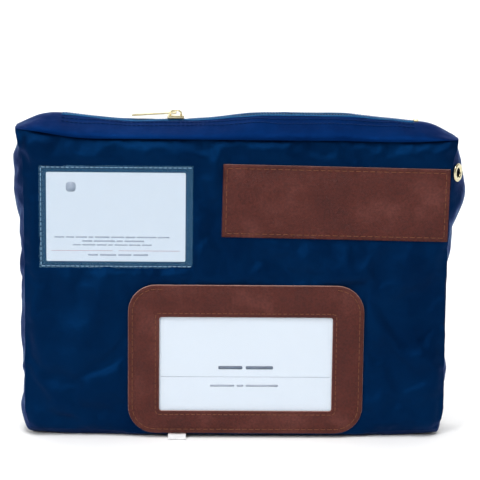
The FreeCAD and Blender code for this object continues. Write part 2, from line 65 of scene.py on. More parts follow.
panel_low, panel_high = span("front_panel")
HALF_W = panel_high.x
SEAM_Z = panel_low.z
FOLD_Z = panel_high.z
FRONT_Y = panel_low.y
INNER_Y = -panel_high.y
closed_low, closed_high = span("front_closed_tape")
lip_low, lip_high = span("front_lip_tape")
ZIP_LEFT = closed_low.x
MOUTH_LEFT = closed_high.x
ZIP_RIGHT = lip_high.x
MOUTH_OPEN, MOUTH_MID, MOUTH_CLOSE = (
    MOUTH_LEFT + share * (ZIP_RIGHT - MOUTH_LEFT) for share in (0.37, 0.46, 0.68))
teeth_low, teeth_high = span("front_closed_teeth")
CREST = (teeth_low.z + teeth_high.z) / 2 - FOLD_Z
SLIT = -teeth_high.y
BULGE = span("right_gusset")[1].x - HALF_W
FLOOR_Z = span("bottom_gusset")[0].z
BORE = (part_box("eyelet")[0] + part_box("eyelet")[1]) / 2 / MM
OPEN = {j["name"]: j for j in frame["joints"]}["front_lip_hinge"]["range_deg"][0]
HINGE_MARGIN = 0.1
MOUTH_ANGLE = math.radians(-OPEN - HINGE_MARGIN)


def smooth(low, high, value):
    """0 at low and 1 at high, eased; low may be above high."""
    t = min(1.0, max(0.0, (value - low) / (high - low)))
    return t * t * (3 - 2 * t)


def mix(a, b, t):
    return a + (b - a) * t


def wobble(x, y, z):
    """Smooth noise, from about -1 to 1."""
    return noise.noise(Vector((x, y, z)))


# ------------------------------------------------------------------ materials


def new_material(name, **sockets):
    """A Principled material, with plain values set on the shader's own sockets."""
    material = bpy.data.materials.new(name)
    material.use_nodes = True
    shader = material.node_tree.nodes["Principled BSDF"]
    for key, value in sockets.items():
        shader.inputs[key.replace("_", " ")].default_value = value
    return material, material.node_tree, shader


def node(tree, kind, **values):
    made = tree.nodes.new(kind)
    for key, value in values.items():
        if key in made.inputs:
            made.inputs[key].default_value = value
        else:
            setattr(made, key, value)
    return made


def coordinates(tree, stretch=(1, 1, 1)):
    where = node(tree, "ShaderNodeTexCoord")
    mapping = node(tree, "ShaderNodeMapping")
    mapping.inputs["Scale"].default_value = stretch
    tree.links.new(where.outputs["Object"], mapping.inputs["Vector"])
    return mapping.outputs["Vector"]


def noise_at(tree, vector, scale, detail=4.0, roughness=0.5):
    made = node(tree, "ShaderNodeTexNoise", Scale=scale, Detail=detail, Roughness=roughness)
    tree.links.new(vector, made.inputs["Vector"])
    return made.outputs["Fac"]


def ramp(tree, source, stops):
    made = node(tree, "ShaderNodeValToRGB")
    while len(made.color_ramp.elements) < len(stops):
        made.color_ramp.elements.new(0.5)
    for element, (place, colour) in zip(made.color_ramp.elements, stops):
        element.position = place
        element.color = (*colour, 1)
    tree.links.new(source, made.inputs["Fac"])
    return made.outputs["Color"]


def grey(value):
    return (value, value, value)


def add_bump(tree, shader, height, strength, distance, after=None):
    made = node(tree, "ShaderNodeBump", Strength=strength, Distance=distance)
    tree.links.new(height, made.inputs["Height"])
    if after is not None:
        tree.links.new(after, made.inputs["Normal"])
    tree.links.new(made.outputs["Normal"], shader.inputs["Normal"])
    return made.outputs["Normal"]


def combine(tree, operation, first, second):
    made = node(tree, "ShaderNodeMath", operation=operation)
    for index, value in enumerate((first, second)):
        if isinstance(value, (int, float)):
            made.inputs[index].default_value = value
        else:
            tree.links.new(value, made.inputs[index])
    return made.outputs["Value"]


def thread(tree, vector, direction, scale):
    made = node(tree, "ShaderNodeTexWave", wave_type="BANDS", bands_direction=direction,
                Scale=scale, Distortion=0.6, Detail=1.0)
    tree.links.new(vector, made.inputs["Vector"])
    return made.outputs["Fac"]


def weave_of(tree, vector, other, scale):
    """Plain weave: threads along X crossed by threads along another axis."""
    return combine(tree, "MULTIPLY", thread(tree, vector, "X", scale), thread(tree, vector, other, scale))


def nylon(name, base, lift, roughness=0.36):
    """Coated nylon: a plain weave, small creases and a soft blue sheen."""
    material, tree, shader = new_material(
        name, Roughness=roughness, Metallic=0.5, Specular_IOR_Level=0.08, Specular_Tint=(0.05, 0.5, 1.0, 1))
    vector = coordinates(tree)
    patches = noise_at(tree, vector, 22.0, 5.0, 0.6)
    tree.links.new(ramp(tree, patches, [(0.3, base), (0.72, lift)]), shader.inputs["Base Color"])
    fine = add_bump(tree, shader, weave_of(tree, vector, "Z", 900.0), 0.35, 0.00012)
    crinkle = noise_at(tree, coordinates(tree, (1, 1, 0.7)), 95.0, 6.0, 0.62)
    soft = add_bump(tree, shader, crinkle, 0.32, 0.0016, after=fine)
    crease = noise_at(tree, coordinates(tree, (0.8, 1, 1.3)), 34.0, 3.0, 0.5)
    add_bump(tree, shader, crease, 0.3, 0.004, after=soft)
    rough = noise_at(tree, vector, 160.0, 4.0)
    tree.links.new(ramp(tree, rough, [(0.3, grey(roughness - 0.06)), (0.7, grey(roughness + 0.1))]),
                   shader.inputs["Roughness"])
    return material


def ribbed_tape(name, base, lift):
    """Woven zip tape with fine ribs that run along the zip."""
    material, tree, shader = new_material(
        name, Roughness=0.6, Metallic=0.3, Specular_IOR_Level=0.1, Specular_Tint=(0.1, 0.5, 1.0, 1))
    vector = coordinates(tree)
    ribs = thread(tree, coordinates(tree, (0.02, 1, 1)), "Z", 260.0)
    twill = thread(tree, vector, "DIAGONAL", 520.0)
    tone = combine(tree, "MULTIPLY", ribs, noise_at(tree, vector, 60.0))
    tree.links.new(ramp(tree, tone, [(0.1, base), (0.5, lift)]), shader.inputs["Base Color"])
    first = add_bump(tree, shader, ribs, 0.6, 0.0004)
    add_bump(tree, shader, twill, 0.35, 0.0002, after=first)
    return material


def leather(name, base, lift, dark):
    """Grained brown leather: pebbled cells, darker pores, worn lighter patches."""
    material, tree, shader = new_material(
        name, Roughness=0.42, Specular_IOR_Level=0.26, Specular_Tint=(1.0, 0.86, 0.9, 1))
    vector = coordinates(tree)
    cells = node(tree, "ShaderNodeTexVoronoi", feature="DISTANCE_TO_EDGE", Scale=950.0)
    tree.links.new(vector, cells.inputs["Vector"])
    pores = noise_at(tree, vector, 700.0, 3.0)
    wear = noise_at(tree, vector, 38.0, 6.0, 0.65)
    colour = ramp(tree, wear, [(0.3, dark), (0.52, base), (0.8, lift)])
    speck = ramp(tree, pores, [(0.35, grey(0.72)), (0.6, grey(1.08))])
    blend = node(tree, "ShaderNodeMix", data_type="RGBA", blend_type="MULTIPLY")
    blend.inputs["Factor"].default_value = 1.0
    tree.links.new(colour, blend.inputs[6])
    tree.links.new(speck, blend.inputs[7])
    tree.links.new(blend.outputs[2], shader.inputs["Base Color"])
    pebble = ramp(tree, cells.outputs["Distance"], [(0.0, grey(0.0)), (0.28, grey(1.0))])
    first = add_bump(tree, shader, pebble, 0.55, 0.0003)
    add_bump(tree, shader, pores, 0.4, 0.00025, after=first)
    tree.links.new(ramp(tree, wear, [(0.3, grey(0.38)), (0.75, grey(0.55))]), shader.inputs["Roughness"])
    return material


def speckled(name, base, lift, roughness, scale=300.0, bump=0.15, depth=0.0002, **sockets):
    """A plain material with small colour, gloss and surface variation."""
    material, tree, shader = new_material(name, Roughness=roughness, **sockets)
    vector = coordinates(tree)
    grain = noise_at(tree, vector, scale, 5.0, 0.6)
    tree.links.new(ramp(tree, grain, [(0.32, base), (0.7, lift)]), shader.inputs["Base Color"])
    tree.links.new(ramp(tree, grain, [(0.3, grey(roughness * 0.8)), (0.7, grey(min(1.0, roughness * 1.25)))]),
                   shader.inputs["Roughness"])
    add_bump(tree, shader, grain, bump, depth)
    return material


def film(name, alpha):
    """Clear vinyl: mostly see-through, glossy, with shallow ripples."""
    material, tree, shader = new_material(
        name, Base_Color=(0.10, 0.30, 0.50, 1), Roughness=0.12, Alpha=alpha, Specular_IOR_Level=0.4)
    ripple = noise_at(tree, coordinates(tree), 60.0, 4.0, 0.55)
    add_bump(tree, shader, ripple, 0.5, 0.002)
    return material


def ribbon(name):
    """White woven ribbon."""
    material, tree, shader = new_material(name, Roughness=0.7, Sheen_Weight=0.2)
    vector = coordinates(tree)
    weave = weave_of(tree, vector, "Y", 700.0)
    tree.links.new(ramp(tree, weave, [(0.0, (0.68, 0.69, 0.72)), (0.6, (0.86, 0.86, 0.87))]),
                   shader.inputs["Base Color"])
    add_bump(tree, shader, weave, 0.5, 0.0002)
    return material


NAVY = nylon("navy_nylon", (0.0003, 0.0080, 0.0370), (0.0006, 0.0150, 0.0600))
NAVY_STRIP = nylon("navy_nylon_strip", (0.0004, 0.0090, 0.0550), (0.0008, 0.0160, 0.0860), 0.45)
BINDING = speckled("seam_binding_ribbon", (0.001, 0.006, 0.03), (0.002, 0.012, 0.05), 0.7)
LINING = speckled("lining_nylon", (0.002, 0.006, 0.02), (0.003, 0.012, 0.04), 0.6)
TAPE = ribbed_tape("zip_tape_weave", (0.0004, 0.0075, 0.050), (0.0010, 0.0170, 0.095))
TEETH = speckled("zip_teeth_nylon", (0.004, 0.055, 0.165), (0.010, 0.095, 0.240), 0.3, 900.0,
                 Specular_IOR_Level=0.4, Specular_Tint=(0.3, 0.7, 1.0, 1))
THREAD_NAVY = speckled("navy_thread", (0.0008, 0.010, 0.06), (0.002, 0.028, 0.12), 0.7, 1500.0, 0.4,
                       Specular_IOR_Level=0.1)
THREAD_BROWN = speckled("brown_thread", (0.11, 0.036, 0.018), (0.20, 0.085, 0.050), 0.7, 1500.0, 0.4,
                        Specular_IOR_Level=0.1)
THREAD_PALE = speckled("pale_thread", (0.13, 0.24, 0.36), (0.30, 0.42, 0.55), 0.6, 1500.0, 0.4)
BROWN = leather("brown_leather", (0.066, 0.0110, 0.0062), (0.120, 0.034, 0.026), (0.046, 0.0068, 0.0038))
RAW_EDGE = speckled("leather_cut_edge", (0.27, 0.13, 0.10), (0.44, 0.26, 0.22), 0.75, 800.0, 0.5, 0.0004)
BRASS = speckled("pale_brass", (0.62, 0.55, 0.33), (0.80, 0.74, 0.52), 0.2, 500.0, 0.08, 0.0001, Metallic=1.0)
CARD = speckled("card_stock", (0.69, 0.73, 0.78), (0.72, 0.76, 0.81), 0.7, 900.0, 0.1, 0.00005,
                Specular_IOR_Level=0.2)
INK = speckled("grey_ink", (0.11, 0.12, 0.15), (0.16, 0.17, 0.21), 0.5, 900.0)
PALE_INK = speckled("pale_ink", (0.36, 0.38, 0.44), (0.42, 0.44, 0.50), 0.5, 900.0)
ROSE_INK = speckled("rose_ink", (0.50, 0.26, 0.29), (0.58, 0.32, 0.35), 0.5, 900.0)
FILM = film("clear_vinyl", 0.10)
WINDOW_FILM = film("clear_window_film", 0.06)
RIBBON = ribbon("white_ribbon")

# ------------------------------------------------------------------ mesh helpers


def add_object(name, data):
    item = bpy.data.objects.new(name, data)
    bpy.context.scene.collection.objects.link(item)
    return item


def mesh_object(name, points, faces, material, smooth_shade=True):
    """A mesh object from points in millimetres."""
    mesh = bpy.data.meshes.new(name)
    mesh.from_pydata([Vector(p) * MM for p in points], [], faces)
    mesh.validate()
    mesh.update()
    item = add_object(name, mesh)
    mesh.materials.append(material)
    if smooth_shade:
        mesh.shade_smooth()
    return item


def grid_faces(rows, columns, closed=False):
    """Quads of a grid of points, listed row by row; closed joins each row's end to its start."""
    faces = []
    wrap = columns if closed else columns - 1
    for r in range(rows - 1):
        for c in range(wrap):
            a = r * columns + c
            b = r * columns + (c + 1) % columns
            faces.append((a, b, b + columns, a + columns))
    return faces


def sheet_mesh(name, grid, thickness, material, outward, inner=None):
    """A thin closed sheet: the grid is its outer face, and the other face lies along -outward."""
    outer = [p for row in grid for p in row]
    item = mesh_object(name, outer, grid_faces(len(grid), len(grid[0])), material)
    middle = item.data.polygons[len(item.data.polygons) // 2]
    if middle.normal.dot(Vector(outward)) < 0:
        item.data.flip_normals()
    solid = item.modifiers.new("thickness", "SOLIDIFY")
    solid.thickness = thickness * MM
    solid.offset = -1
    if inner is not None:
        item.data.materials.append(inner)
        solid.material_offset = 1
    return shade(bake(item))


def bake(item):
    """Apply an object's modifiers to its mesh."""
    graph = bpy.context.evaluated_depsgraph_get()
    made = bpy.data.meshes.new_from_object(item.evaluated_get(graph))
    item.modifiers.clear()
    item.data = made
    return item


def shade(item, angle=50):
    """Smooth shading, with edges sharper than the angle kept crisp."""
    item.data.shade_smooth()
    item.data.set_sharp_from_angle(angle=math.radians(angle))
    return item


def brass_copy(node_name, piece_name, width, body):
    """The CAD piece in brass with its edges rounded, in the CAD piece's place."""
    item = add_object(piece_name, frame["nodes"][node_name].data.copy())
    item.data.materials.clear()
    item.data.materials.append(BRASS)
    weld = item.modifiers.new("weld", "WELD")
    weld.merge_threshold = 0.00001
    rounding = item.modifiers.new("rounding", "BEVEL")
    rounding.width = width * MM
    rounding.segments = 3
    rounding.limit_method = "ANGLE"
    rounding.angle_limit = math.radians(35)
    shade(bake(item), 40)
    finish_piece(item, body, "brass", node_name)


def finish_piece(item, body, slot_name, *stands_for):
    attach(item, body)
    if stands_for:
        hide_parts(*stands_for)


def tube(points, radius, sides=8):
    """Vertices and faces of a thin round rod along points, with its ends closed."""
    count = len(points)
    verts = []
    for index, point in enumerate(points):
        before = points[index - 1] if index else point
        after = points[index + 1] if index < count - 1 else point
        along = (Vector(after) - Vector(before)).normalized()
        across = (along.cross(Vector((0, 1, 0))) if abs(along.y) < 0.9 else along.orthogonal()).normalized()
        over = along.cross(across)
        for side in range(sides):
            angle = 2 * math.pi * side / sides
            verts.append(Vector(point) + (across * math.cos(angle) + over * math.sin(angle)) * radius)
    faces = grid_faces(count, sides, closed=True)
    faces.append(tuple(range(sides)))
    faces.append(tuple(reversed(range(sides * (count - 1), sides * count))))
    return verts, faces


def joined(name, parts, material):
    """One object from many (vertices, faces) pairs."""
    verts = []
    faces = []
    for part_verts, part_faces in parts:
        start = len(verts)
        verts += part_verts
        faces += [tuple(start + i for i in face) for face in part_faces]
    return mesh_object(name, verts, faces, material)


def stitch(a, b, outward, radius=0.24, dip=0.14):
    """One stitch from a to b: a short thread that rises from its holes and lies proud in the middle."""
    rise = ((0.0, -dip), (0.12, 0.1), (0.35, 0.22), (0.65, 0.22), (0.88, 0.1), (1.0, -dip))
    return tube([a.lerp(b, t) + outward * lift for t, lift in rise], radius, 6)


def stitch_row(path, pitch, share, outward):
    """Stitches at an even pitch along a path of points."""
    made = []
    distances = [0.0]
    for first, second in zip(path, path[1:]):
        distances.append(distances[-1] + (Vector(second) - Vector(first)).length)
    count = max(1, round(distances[-1] / pitch))
    step = distances[-1] / count

    def at(distance):
        for index in range(1, len(path)):
            if distance <= distances[index] or index == len(path) - 1:
                run = distances[index] - distances[index - 1]
                t = (distance - distances[index - 1]) / run if run else 0
                return Vector(path[index - 1]).lerp(Vector(path[index]), t)

    for index in range(count):
        begin = at(step * (index + 0.5 - share / 2))
        end = at(step * (index + 0.5 + share / 2))
        made.append(stitch(begin, end, outward))
    return made


# ------------------------------------------------------------------ the bag's shape, in millimetres

TOP_FLARE = 4.3
CORNER_RISE = 5.2
FRONT_OUT = Vector((0, -1, 0))


def half_width(z):
    """Half the distance between the side seams at a height."""
    flare = TOP_FLARE * smooth(FOLD_Z - 26, FOLD_Z, z) ** 1.6
    foot = 4.6 * (1 - smooth(SEAM_Z - 6, SEAM_Z + 17, z)) ** 1.4
    waist = 0.7 * math.sin(math.pi * (z - SEAM_Z) / (FOLD_Z - SEAM_Z))
    return HALF_W + flare - foot - waist


def base_rise(x):
    """How far the base seam lifts off its lowest line towards the corners."""
    left = 2.4 * smooth(58, 92, -x)
    right = 2.2 * smooth(70, 112, x) + 1.0 * smooth(118, 131, x)
    return left + right


def fold_rise(x):
    """How far the top fold is pulled up at the corners, more at the left."""
    left = CORNER_RISE * smooth(84, 136, -x) ** 1.3
    right = 1.2 * smooth(104, 136, x) - 0.6 * smooth(60, 95, x)
    return left + right


def height_at(x, v):
    """Height on the panel at a share v of the way from the base seam to the fold."""
    return mix(SEAM_Z + base_rise(x) * (1 - v) ** 2, FOLD_Z + fold_rise(x), v)


# Each fold: from (x, z) to (x, z), how far it stands out and how wide it is.
FOLDS = [
    (-134, 186, -96, 158, 1.5, 5.0),
    (-133, 182, -112, 138, -1.3, 4.5),
    (-131, 176, -122, 96, 1.0, 4.0),
    (-128, 186, -70, 176, 1.1, 4.5),
    (-118, 184, -64, 180, -0.8, 3.0),
    (-62, 186, -16, 176, 1.3, 4.0),
    (-48, 182, -4, 186, -0.9, 3.0),
    (-24, 176, -10, 112, -1.9, 6.0),
    (-10, 178, -26, 120, 1.6, 4.5),
    (-14, 126, -44, 92, 1.9, 5.0),
    (-26, 104, -70, 78, -1.1, 5.0),
    (6, 186, 40, 178, 1.2, 3.6),
    (30, 187, 62, 179, -0.9, 3.0),
    (134, 186, 96, 179, 1.5, 3.6),
    (133, 183, 70, 184, -0.9, 3.0),
    (10, 120, 96, 104, 1.3, 7.0),
    (-4, 122, 60, 98, -1.3, 6.0),
    (84, 116, 126, 84, -1.1, 8.0),
    (104, 124, 124, 30, 1.0, 9.0),
    (-92, 102, -70, 20, 1.2, 9.0),
    (-118, 104, -104, 20, -1.0, 8.0),
    (-126, 98, -84, 62, 0.9, 7.0),
    (-120, 60, -76, 30, 0.8, 7.0),
]


def fold_height(x, z):
    """How far the folds stand out together at a place on the front."""
    total = 0.0
    for x0, z0, x1, z1, amount, width in FOLDS:
        along_x = x1 - x0
        along_z = z1 - z0
        length2 = along_x * along_x + along_z * along_z
        t = ((x - x0) * along_x + (z - z0) * along_z) / length2
        t_in = min(1.0, max(0.0, t))
        dx = x - x0 - along_x * t_in
        dz = z - z0 - along_z * t_in
        ends = smooth(0, 0.25, t_in + 0.08) * smooth(0, 0.3, 1.02 - t_in)
        total += amount * math.exp(-(dx * dx + dz * dz) / (2 * width * width)) * ends
    return total


SEWN_ON = [span(name) for name in ("marking_patch", "label_frame", "card_pocket_film")]


def under_patch(x, z, soft=5.0):
    """1 away from what is sewn on the front, 0 under it."""
    free = 1.0
    for low, high in SEWN_ON:
        outside = max(low.x - x, x - high.x, low.z - z, z - high.z)
        free = min(free, smooth(-1.0, soft, outside))
    return free


def creases(x, z, seed):
    """Small uneven creases of limp cloth, in millimetres."""
    a = wobble(x * 0.020, z * 0.030, seed)
    b = wobble(x * 0.055 + z * 0.02, z * 0.05 - x * 0.015, seed + 7)
    c = wobble(x * 0.13 + z * 0.05, z * 0.09, seed + 19)
    ridge = 1 - 2 * abs(wobble(x * 0.035 - z * 0.02, z * 0.028 + x * 0.01, seed + 31))
    return 1.5 * a + 0.8 * b + 0.25 * c + 0.5 * ridge


def edge_turn(distance, depth=2.6, reach=9.0):
    """How far a panel falls back near its seam."""
    return depth * (1 - smooth(0, reach, distance)) ** 2


def pucker(along, distance, amount=0.22):
    """Small uneven gathers along a sewn seam."""
    wave = math.sin(along * 0.53 + 2.6 * math.sin(along * 0.07)) + 0.6 * math.sin(along * 1.07 + 2)
    strength = 0.5 + 0.5 * wobble(along * 0.02, 3.3, 8.8)
    return amount * wave * strength * (1 - smooth(1.0, 9.0, distance))


def front_point(x, z):
    """Point on the front panel's outer face."""
    reach_x = half_width(z) - abs(x)
    reach_top = FOLD_Z + fold_rise(x) - z
    reach_base = z - SEAM_Z - base_rise(x)
    free = under_patch(x, z)
    relief = fold_height(x, z) * 1.5 + creases(x, z, 3.0) * 0.95 - 0.3
    edge = min(reach_x, reach_top, reach_base)
    relief *= smooth(0, 7, edge)
    relief += pucker(x if reach_x > min(reach_top, reach_base) else z, edge)
    crown = 1.2 * smooth(0, 30, edge)
    back = edge_turn(reach_x) + edge_turn(reach_top, 2.2, 8.0) + edge_turn(reach_base, 1.6, 5.0)
    limit = min(4.0, relief + crown)
    return (x, FRONT_Y + 0.15 - limit * free + back * (0.25 + 0.75 * free), z)


def back_point(x, z):
    reach = min(half_width(z) - abs(x), FOLD_Z + fold_rise(x) - z, z - SEAM_Z - base_rise(x))
    relief = creases(x, z, 41.0) * 1.2 * smooth(0, 9, reach) + pucker(x + z, reach)
    crown = 2.6 * smooth(0, 45, reach)
    return (x, -FRONT_Y + relief + crown - edge_turn(reach) - 0.6, z)


def section_bulge(place):
    """Shape of the gusset between its two seams: 0 at a seam, 1 in the middle."""
    return (1 - abs(place) ** 2.3) ** 0.8


# Each side gusset, -1 left and 1 right: how far it stands out low down, how much more at its
# widest, and where that is and how tall, as shares of the panel's height.
SWELL = {-1: (2.8, 3.9, 0.91, 0.12), 1: (1.2, 9.6, 0.83, 0.115)}


def side_bulge(z, side):
    """How far a side gusset stands out past its seams."""
    share = (z - SEAM_Z) / (FOLD_Z - SEAM_Z)
    low, more, place, tall = SWELL[side]
    swell = low + more * math.exp(-((share - place) / tall) ** 2)
    return swell * smooth(0, 0.1, share + 0.03) * (1 - 0.75 * smooth(0.92, 1.0, share))


def floor_height(x):
    """Underside of the base at x: on the floor, a little lifted towards the ends."""
    return FLOOR_Z + 0.12 + 1.5 * smooth(100, 131, abs(x))


def drop_to_floor(p, place, amount):
    """Bring a point of the base, or of a gusset's foot, down between its seams."""
    p.z = mix(p.z, floor_height(p.x), amount * (1 - smooth(0.74, 1.0, abs(place)) ** 1.2))


def gusset_point(a, b, place, side, v):
    """Point between a front and a back seam point: bulging out, and round its CAD arc at the eyelet."""
    p = Vector(a).lerp(Vector(b), (place + 1) / 2)
    swell = side_bulge(p.z, side) * section_bulge(place)
    crease = creases(p.y * 2.2, p.z, 70.0 + side) * 0.75 * (1 - place * place)
    x = p.x + side * (swell + crease)
    if side > 0:
        near = math.exp(-((p.z - BORE.z) ** 2 + (p.y - BORE.y) ** 2) / 130.0)
        arc = ARC_CENTRE + math.sqrt(max(0.0, ARC_RADIUS ** 2 - p.y ** 2))
        x = mix(x, arc - 0.1, near)
    p.x = x
    drop_to_floor(p, place, (1 - smooth(0.0, 0.09, v)) ** 2)
    return tuple(p)


STEP = 2.8
ROWS = int((FOLD_Z - SEAM_Z) / STEP)
WIDE = int(2 * HALF_W / STEP)
DEEP = 16
ARC_RADIUS = (INNER_Y ** 2 + BULGE ** 2) / (2 * BULGE)
ARC_CENTRE = HALF_W + BULGE - ARC_RADIUS
END_REACH = 26


def panel_grid(point):
    grid = []
    for r in range(ROWS + 1):
        v = r / ROWS
        row = []
        for c in range(WIDE + 1):
            x = (c / WIDE * 2 - 1) * half_width(mix(SEAM_Z, FOLD_Z, v))
            row.append(point(x, height_at(x, v)))
        grid.append(row)
    return grid


def gusset_grid(side, front, back):
    column = -1 if side > 0 else 0
    return [[gusset_point(front[r][column], back[r][column], k / DEEP * 2 - 1, side, r / ROWS)
             for k in range(DEEP + 1)] for r in range(ROWS + 1)]


def base_grid(front, back, left, right):
    """Bottom gusset: from one base seam down to the floor and up to the other."""
    grid = []
    for c in range(WIDE + 1):
        row = []
        for k in range(DEEP + 1):
            place = k / DEEP * 2 - 1
            p = Vector(front[0][c]).lerp(Vector(back[0][c]), k / DEEP)
            drop_to_floor(p, place, 1.0)
            p.z += 0.2 * (1 + wobble(p.x * 0.06, p.y * 0.09, 9)) * smooth(60, 120, abs(p.x))
            for side, edge in ((-1, left), (1, right)):
                share = 1 - smooth(0, END_REACH, half_width(SEAM_Z) - side * p.x)
                corner = Vector(edge[0][k])
                end_x = p.x + (corner.x - side * half_width(SEAM_Z))
                p = p.lerp(Vector((end_x, p.y, mix(p.z, corner.z, share))), share)
            row.append(tuple(p))
        grid.append(row)
    grid[0] = left[0]
    grid[-1] = right[0]
    return grid


class Shell:
    """The sewn shell as one welded mesh, with each panel's own faces kept apart."""

    def __init__(self):
        self.points = []
        self.lookup = {}
        self.faces = {}

    def add(self, name, grid, flip=False):
        rows = [[self.index(p) for p in row] for row in grid]
        quads = []
        for lower, upper in zip(rows, rows[1:]):
            for a, b, c, d in zip(lower, lower[1:], upper[1:], upper):
                quad = (a, b, c, d)
                quads.append(tuple(reversed(quad)) if flip else quad)
        self.faces[name] = quads

    def index(self, p):
        key = tuple(round(value, 2) for value in p)
        if key not in self.lookup:
            self.lookup[key] = len(self.points)
            self.points.append(Vector(p))
        return self.lookup[key]


def build_shell(front, back, left, right):
    made = Shell()
    made.add("front_panel", front)
    made.add("back_panel", back, flip=True)
    made.add("left_gusset", left, flip=True)
    made.add("right_gusset", right)
    made.add("bottom_gusset", base_grid(front, back, left, right))
    return made


def hold_share(p):
    """How firmly a point of the shell is held: 1 where it is sewn, 0 where it hangs free."""
    top = FOLD_Z + fold_rise(p.x) - p.z
    held = 1 - smooth(0.0, 5.0, top)
    if p.y < -INNER_Y + 3.5:
        held = max(held, 1 - under_patch(p.x, p.z, 3.0))
    side = half_width(p.z) - abs(p.x)
    at_corner = min(abs(p.y - FRONT_Y), abs(p.y + FRONT_Y))
    if at_corner < 4.5:
        held = max(held, 0.8 * (1 - smooth(0.0, 4.0, abs(side))))
    foot = p.z - SEAM_Z - base_rise(p.x)
    held = max(held, 1 - smooth(-0.5, 4.0, foot))
    return max(held, 1 - smooth(7.0, 13.0, (p - BORE).length))


CLOTH_FRAMES = 26
CLOTH_CAP = 3.6
CAP_GIVE = 0.3
CLOTH_SETTINGS = {
    "vertex_group_mass": "held", "quality": 6, "mass": 0.12, "tension_stiffness": 18,
    "compression_stiffness": 18, "shear_stiffness": 8, "bending_stiffness": 0.02, "air_damping": 3,
    "shrink_min": -0.03, "shrink_max": -0.03, "use_pressure": True, "uniform_pressure_force": 1.2}


def settle(shell):
    """Let the limp cloth between the seams and the sewn-on pieces take up its own creases."""
    mesh = bpy.data.meshes.new("shell_cloth")
    mesh.from_pydata([p * MM for p in shell.points], [], [f for group in shell.faces.values() for f in group])
    mesh.update()
    item = add_object("shell_cloth", mesh)
    group = item.vertex_groups.new(name="held")
    for number, p in enumerate(shell.points):
        group.add([number], hold_share(p), "REPLACE")
    cloth = item.modifiers.new("cloth", "CLOTH")
    for key, value in CLOTH_SETTINGS.items():
        setattr(cloth.settings, key, value)
    cloth.settings.effector_weights.gravity = 0.35
    cloth.collision_settings.use_collision = False
    cloth.collision_settings.use_self_collision = False
    scene = bpy.context.scene
    cloth.point_cache.frame_start = 1
    cloth.point_cache.frame_end = CLOTH_FRAMES
    for number in range(1, CLOTH_FRAMES + 1):
        scene.frame_set(number)
    graph = bpy.context.evaluated_depsgraph_get()
    shape = item.evaluated_get(graph).to_mesh()
    settled = [v.co / MM for v in shape.vertices]
    item.evaluated_get(graph).to_mesh_clear()
    bpy.data.objects.remove(item)
    bpy.data.meshes.remove(mesh)
    scene.frame_set(1)
    moved = []
    for before, after in zip(shell.points, settled):
        shift = after - before
        if shift.length > CLOTH_CAP:
            shift = shift.normalized() * (CLOTH_CAP + CAP_GIVE * math.atan(shift.length - CLOTH_CAP))
        now = before + shift
        now.z = max(now.z, FLOOR_Z + 0.05)
        moved.append(now)
    shell.points = moved


def panel_piece(shell, name):
    """One panel of the settled shell as its own thin cloth, meeting its neighbours along the seams."""
    used = sorted({i for face in shell.faces[name] for i in face})
    number = {old: new for new, old in enumerate(used)}
    faces = [tuple(number[i] for i in face) for face in shell.faces[name]]
    item = mesh_object(name + "_cloth", [shell.points[i] for i in used], faces, NAVY)
    item.data.materials.append(LINING)
    finer = item.modifiers.new("finer", "SUBSURF")
    finer.levels = 1
    finer.boundary_smooth = "PRESERVE_CORNERS"
    bake(item)
    if name == "right_gusset":
        punch(item, BORE, 3.5)
    solid = item.modifiers.new("thickness", "SOLIDIFY")
    solid.thickness = 0.5 * MM
    solid.offset = -1
    solid.material_offset = 1
    shade(bake(item))
    finish_piece(item, "bag", "nylon", name)
    return item


def punch(item, centre, radius):
    """Open a hole in the cloth where the eyelet is set."""
    work = bmesh.new()
    work.from_mesh(item.data)
    gone = [f for f in work.faces if (f.calc_center_median() / MM - centre).length < radius]
    bmesh.ops.delete(work, geom=gone, context="FACES")
    work.to_mesh(item.data)
    work.free()


def seam_strip(name, side, panel):
    """Binding sewn over a seam, inside the bag: down one side, along the base and up the other."""
    path = [Vector(row[0]) for row in reversed(panel)]
    path += [Vector(p) for p in panel[0][1:]]
    path += [Vector(row[-1]) for row in panel[1:]]
    heart = Vector((0, 0, (FOLD_Z + SEAM_Z) / 2))
    grid = []
    for index, point in enumerate(path):
        before = path[max(0, index - 1)]
        after = path[min(len(path) - 1, index + 1)]
        along = after - before
        inward = Vector((-along.z, 0, along.x)).normalized()
        if inward.dot(heart - point) < 0:
            inward = -inward
        row = []
        for k in range(4):
            p = point + inward * (2.2 + 2.4 * k)
            p.y = point.y - side * (1.6 + 0.2 * k)
            row.append(tuple(p))
        grid.append(row)
    item = sheet_mesh(name + "_ribbon", grid, 0.6, BINDING, (0, side, 0))
    finish_piece(item, "bag", "binding", name)


# ------------------------------------------------------------------ the top band and the zip

PROFILE = [(0.0, -0.3, -0.6), (0.12, -0.35, 1.5), (0.36, 5.2, 5.2), (0.62, 12.2, 8.7),
           (0.78, 15.4, CREST), (1.0, INNER_Y - SLIT - 0.3, CREST)]


def closed_profile(s):
    """(y, z) from the fold line at a share s of the way up to the teeth, with the mouth shut."""
    for (s0, y0, z0), (s1, y1, z1) in zip(PROFILE, PROFILE[1:]):
        if s <= s1:
            t = (s - s0) / (s1 - s0)
            return mix(y0, y1, t), mix(z0, z1, t)
    return PROFILE[-1][1:]


def soft_profile(s):
    """The same, with its corners eased."""
    picked = [closed_profile(min(1, max(0, s + d))) for d in (-0.08, -0.04, 0, 0.04, 0.08)]
    return sum(p[0] for p in picked) / 5, sum(p[1] for p in picked) / 5


def mouth_weight(x):
    """How far the lips are spread at x, from 0 to 1."""
    if x <= MOUTH_MID:
        return smooth(MOUTH_LEFT, MOUTH_OPEN, x)
    return 1 - smooth(MOUTH_CLOSE, ZIP_RIGHT, x)


